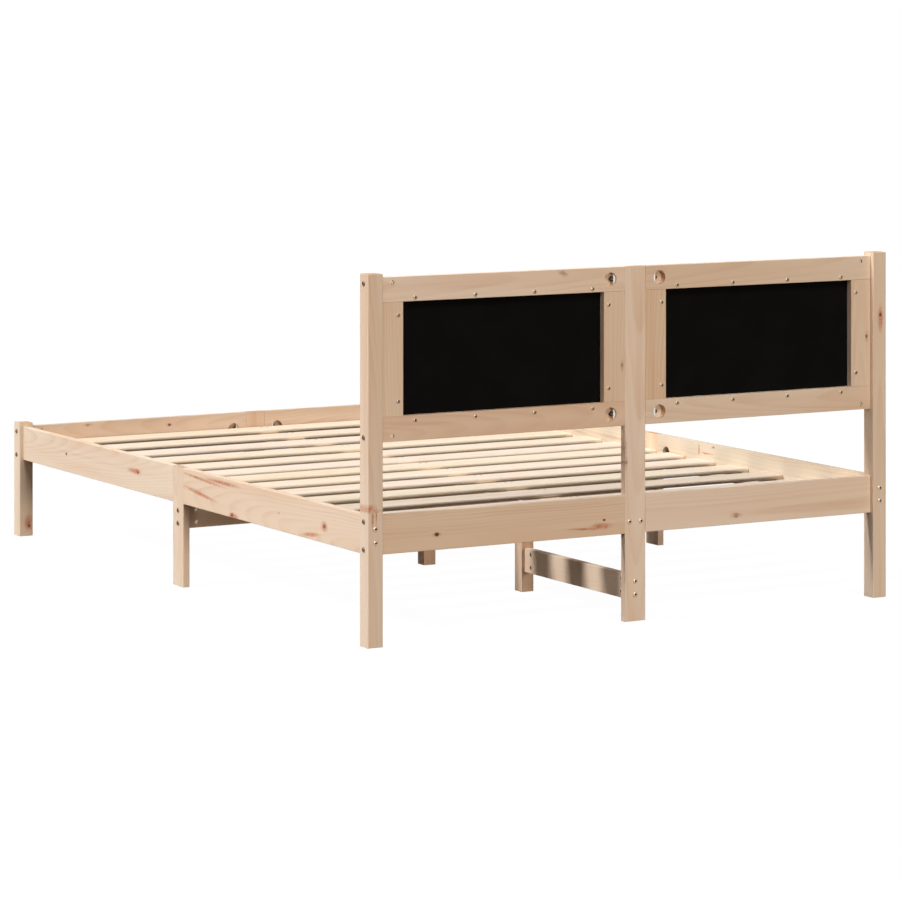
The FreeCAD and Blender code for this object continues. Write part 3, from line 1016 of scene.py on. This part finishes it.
def make_rods():
    """Threaded rods with a half moon washer and a nut in a pocket at each end."""
    parts = []
    rods = []
    seats = []
    for low, high, points in islands("tie_rod_sets"):
        kind = rods if (high - low)[long_axis(low, high)] > shortest_rod else seats
        kind.append((low, high))
    for low, high in rods:
        axis = long_axis(low, high)
        source = mesh_from(rod((high - low)[axis]), "rod")
        parts.append((source, standing((low + high) / 2, unit(axis))))
        note_bore(low, high, bolt_radius + bore_clearance)
    washers = []
    nut = mesh_from(hexagon_nut(), "nut")
    dice = random.Random("rod nuts")
    for low, high in seats:
        middle = (low + high) / 2
        name = holding(middle)
        along, way = rod_way(rods, middle)
        inner, outer = (low[along], high[along]) if way > 0 else (high[along], low[along])
        flat = middle.copy()
        flat[along] = outer - way * rod_nut_thickness
        outward = unit(along, way)
        parts.append((nut, standing(flat, outward, dice.uniform(0, math.pi))))
        pocket = flat + outward * washer_flat_offset
        radius = abs(pocket[along] - inner)
        entry = entry_of(name)
        thickness = abs((high - low).dot(entry))
        washers.append(washer_part(pocket, outward, entry, radius, thickness))
        bottom = entry_place(name, pocket) - entry * pocket_depth
        note_blind_hole(name, bottom, pocket_radius, pocket_sides)
    finish_steel("tie_rod_set", parts, (dark_steel,), "tie_rod_sets")
    finish_steel("half_moon_washers", washers, (bright_steel,))


def rod_way(rods, point):
    """The axis of the rod that passes through a point, and the way its nearer end points."""
    for low, high in rods:
        axis = long_axis(low, high)
        middle = (low + high) / 2
        offset = point - middle
        way = 1 if offset[axis] > 0 else -1
        offset[axis] = 0
        if offset.length < pocket_radius and low[axis] < point[axis] < high[axis]:
            return axis, way
    raise ValueError("no rod at %s" % point)


def washer_part(pocket, outward, entry, radius, thickness):
    """One washer about its pocket's centre: its flat faces the way outward points."""
    bm = bmesh.new()
    side = outward.cross(entry)
    half_turn = math.acos(washer_flat_offset / radius)
    layers = []
    for level in (-0.5, 0.5):
        layer = []
        for index in range(washer_steps + 1):
            turn = half_turn * (2 * index / washer_steps - 1)
            point = side * radius * math.sin(turn) - outward * radius * math.cos(turn)
            layer.append(bm.verts.new(pocket + point + entry * thickness * level))
        layers.append(layer)
    close_up(bm, layers)
    bmesh.ops.recalc_face_normals(bm, faces=bm.faces)
    piece = new_object("washer", mesh_from(bm, "washer"))
    reach = outward * pocket_radius * 2
    cut(piece, [drill(pocket - reach, pocket + reach, bolt_radius + bore_clearance)])
    ease = piece.modifiers.new("ease", "BEVEL")
    ease.width = washer_edge
    ease.segments = 2
    ease.limit_method = "ANGLE"
    ease.angle_limit = crease_angle
    mesh = applied(piece)
    bpy.data.objects.remove(piece)
    return mesh, Matrix.Identity(4)


def dowel(length):
    """A fluted dowel about its own middle, along Z."""
    bm = bmesh.new()
    rings = []
    for reach, height in dowel_ring_shares:
        points = []
        for index in range(dowel_sides):
            turn = 2 * math.pi * index / dowel_sides
            far = dowel_radius * reach * (1 - dowel_flute_share * (index % 2))
            points.append(bm.verts.new((far * math.cos(turn), far * math.sin(turn), height * length)))
        rings.append(points)
    close_up(bm, rings)
    return bm


def make_dowels():
    """Fluted beech dowels."""
    parts = []
    for low, high, points in islands("dowels"):
        axis = long_axis(low, high)
        source = mesh_from(dowel((high - low)[axis]), "dowel")
        parts.append((source, standing((low + high) / 2, unit(axis))))
        note_bore(low, high, dowel_radius)
    piece = stamped("dowel_set", parts)
    mark_grain(piece.data, (0, 1, 2), Vector())
    dress(piece, pine_material("dowels", (0, 1, 2), Vector(), dowel_beech))
    finish_piece(piece, "dowel_beech", "dowels")


def screw_source(radius, height, sink, length):
    """A wood screw with a cross recess. Its head stands on Z = 0, or lies flush if sunk."""
    if sink:
        neck = [(screw_shank_radius, -radius * countersink_share), (radius, -sink)]
        head_shares = flush_head_shares
    else:
        neck = [(screw_shank_radius, -neck_drop)]
        head_shares = round_head_shares
    root = screw_shank_radius * screw_root_share
    thread_start, thread_end = [-length * share for share in screw_thread_shares]
    waist, waist_place = screw_waist_shares
    rows = [(root * screw_tip_share, -length)]
    rows += threaded(thread_start, thread_end, root, screw_shank_radius)
    rows.append((screw_shank_radius * waist, -length * waist_place))
    rows += neck + [(radius * reach, height * rise) for reach, rise in head_shares]
    piece = new_object("screw", mesh_from(turned(rows), "screw"))
    blades = []
    for wide, deep in ((cross_reach, cross_width / 2), (cross_width / 2, cross_reach)):
        low = Vector((-wide, -deep, height - cross_depth))
        high = Vector((wide, deep, height * 2 + cut_overrun))
        blades.append(new_object("blade", mesh_from(box_mesh(low, high), "blade")))
    cut(piece, blades)
    mesh = piece.data
    mark_recess(mesh, cross_reach, height - cross_depth - recess_slack, height - cross_rim)
    bpy.data.objects.remove(piece)
    return mesh


def make_panel_screws():
    """Round headed screws along each opening, through the frame into the panel board."""
    dice = random.Random("panel screws")
    source = screw_source(panel_screw_radius, panel_screw_height, 0.0, panel_screw_length)
    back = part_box("headboard_top_rail_right")[1].y
    parts = []
    for side in (-1, 1):
        for columns, heights in panel_screw_rows:
            for x in columns:
                for z in heights:
                    place = Vector((side * x, back, z))
                    parts.append((source, standing(place, unit(1), dice.uniform(0, math.pi))))
    finish_steel("panel_screws", parts, (yellowed_steel, shadowed_steel))


def make_slat_screws():
    """Two flush screws through each slat into the centre beam."""
    dice = random.Random("slat screws")
    source = screw_source(slat_screw_radius, slat_screw_height, slat_screw_sink, slat_screw_length)
    parts = []
    for name in timber_names:
        if name.startswith("slat_"):
            low, high = timber_boxes[name]
            middle = (low.y + high.y) / 2
            scatter = dice.uniform(-slat_screw_scatter, slat_screw_scatter)
            for x in slat_screw_columns:
                place = Vector((x, middle - slat_screw_setback - scatter, high.z))
                parts.append((source, standing(place, unit(2), dice.uniform(0, slat_screw_turn))))
    finish_steel("slat_screws", parts, (yellowed_steel, shadowed_steel))


def rounded_box(name, low, high, radius, steps):
    bm = box_mesh(low, high)
    bevel(bm, bm.edges[:], radius, steps)
    return new_object(name, mesh_from(bm, name))


def make_panel(side):
    """The board behind the padding, lined in black."""
    node = "panel_board_" + side
    low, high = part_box(node)
    piece = rounded_box("panel_lining_" + side, low, high, panel_edge_radius, panel_edge_steps)
    dress(piece, lining_cloth)
    finish_piece(piece, "black_board", node)


def make_pad(side):
    """Padding blown up against its board by a cloth simulation."""
    node = "headboard_pad_" + side
    low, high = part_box(node)
    start_low = Vector((low.x + pad_inset, high.y - pad_start_depth, low.z + pad_inset))
    start_high = Vector((high.x - pad_inset, high.y, high.z - pad_inset))
    piece = rounded_box("pad_cloth_" + side, start_low, start_high, pad_corner_radius,
                        pad_corner_steps)
    remesh = piece.modifiers.new("remesh", "REMESH")
    remesh.mode = "VOXEL"
    remesh.voxel_size = pad_voxel
    applied(piece)
    blow_up(piece, high.y - pad_pinned_depth)
    subdivide = piece.modifiers.new("finer", "SUBSURF")
    subdivide.levels = 1
    subdivide.render_levels = 1
    applied(piece)
    piece.data.shade_smooth()
    piece.data.materials.clear()
    piece.data.materials.append(padding_cloth)
    finish_piece(piece, "black_padding", node)


def blow_up(piece, pinned_from):
    """Cloth under pressure, pinned at the back. No point moves further than the pad's travel."""
    mesh = piece.data
    rest = [vert.co.copy() for vert in mesh.vertices]
    pinned = piece.vertex_groups.new(name="pinned")
    pinned.add([v.index for v in mesh.vertices if v.co.y > pinned_from], 1.0, "REPLACE")
    cloth = piece.modifiers.new("cloth", "CLOTH")
    settings = cloth.settings
    settings.vertex_group_mass = "pinned"
    settings.use_pressure = True
    settings.uniform_pressure_force = pad_pressure
    settings.quality = pad_quality
    settings.tension_stiffness = pad_stiffness
    settings.compression_stiffness = pad_stiffness
    settings.bending_stiffness = pad_bending
    settings.effector_weights.gravity = 0
    cloth.point_cache.frame_start = 1
    cloth.point_cache.frame_end = pad_frames
    for number in range(1, pad_frames + 1):
        bpy.context.scene.frame_set(number)
    applied(piece)
    bpy.context.scene.frame_set(1)
    for vert, start in zip(piece.data.vertices, rest):
        move = vert.co - start
        if move.length > pad_travel:
            vert.co = start + move * (pad_travel / move.length)


def seen_rays(net):
    """One for the rays that see a surface as the camera does, zero for those that light."""
    rays = net.node("LightPath").outputs
    seen = net.math("MAXIMUM", rays["Is Camera Ray"], rays["Is Glossy Ray"])
    return net.math("MAXIMUM", seen, rays["Is Transmission Ray"])


def make_stage():
    """A white floor that keeps a faint shadow, and lights nothing back strongly."""
    bm = bmesh.new()
    bmesh.ops.create_grid(bm, x_segments=1, y_segments=1, size=floor_reach)
    floor = new_object("floor", mesh_from(bm, "floor"))
    floor.location.z = -floor_drop
    material = bpy.data.materials.new("floor")
    material.use_nodes = True
    net = Net(material.node_tree)
    material.node_tree.nodes.clear()
    glow = net.node("Emission", {"Color": white, "Strength": floor_glow}).outputs[0]
    shaded = net.node("BsdfDiffuse", {"Color": floor_seen_colour}).outputs[0]
    bright = net.node("AddShader", {0: glow, 1: shaded}).outputs[0]
    dull = net.node("BsdfDiffuse", {"Color": floor_bounce_colour}).outputs[0]
    surface = net.node("MixShader", {0: seen_rays(net), 1: dull, 2: bright}).outputs[0]
    net.put(net.node("OutputMaterial").inputs["Surface"], surface)
    floor.data.materials.append(material)


def make_world():
    """White where it is seen, and a faint warm light on the bed."""
    world = bpy.data.worlds.new("studio")
    bpy.context.scene.world = world
    world.use_nodes = True
    net = Net(world.node_tree)
    world.node_tree.nodes.clear()
    bright = net.node("Background", {"Color": white, "Strength": 1.0}).outputs[0]
    warm = net.node("Background", {"Color": world_colour, "Strength": world_strength}).outputs[0]
    surface = net.node("MixShader", {0: seen_rays(net), 1: warm, 2: bright}).outputs[0]
    net.put(net.node("OutputWorld").inputs["Surface"], surface)


def make_sun(name, heading, height, strength, width, colour=(1, 1, 1)):
    """A soft lamp far away, by where it stands seen from the bed."""
    lamp = bpy.data.lights.new(name, "SUN")
    lamp.energy = strength * math.pi
    lamp.angle = math.radians(width)
    lamp.color = colour
    turn = math.radians(heading)
    rise = math.radians(height)
    level = math.cos(rise)
    stand = Vector((level * math.cos(turn), level * math.sin(turn), math.sin(rise)))
    new_object(name, lamp).rotation_euler = stand.to_track_quat("Z", "Y").to_euler()


def make_camera():
    """The level camera of the photograph, with the lens shifted as the photograph's was."""
    data = bpy.data.cameras.new("camera")
    data.sensor_width = sensor_width
    data.lens = focal_pixels / photo_size * sensor_width
    data.shift_x = (photo_size / 2 - principal_point[0]) / photo_size
    data.shift_y = (principal_point[1] - photo_size / 2) / photo_size
    data.clip_end = clip_end
    camera = new_object("camera", data)
    camera.location = camera_place
    camera.rotation_euler = (math.pi / 2, 0, camera_heading)
    bpy.context.scene.camera = camera


make_camera()
make_stage()
make_world()
for lamp_name, lamp_values in lamps.items():
    make_sun(lamp_name, *lamp_values)
bpy.context.scene.view_settings.view_transform = "Standard"

make_bolts()
make_barrels()
make_rods()
make_dowels()
for timber_name in timber_names:
    make_timber(timber_name)
make_panel_screws()
make_slat_screws()
for panel_side in ("right", "left"):
    make_panel(panel_side)
    make_pad(panel_side)
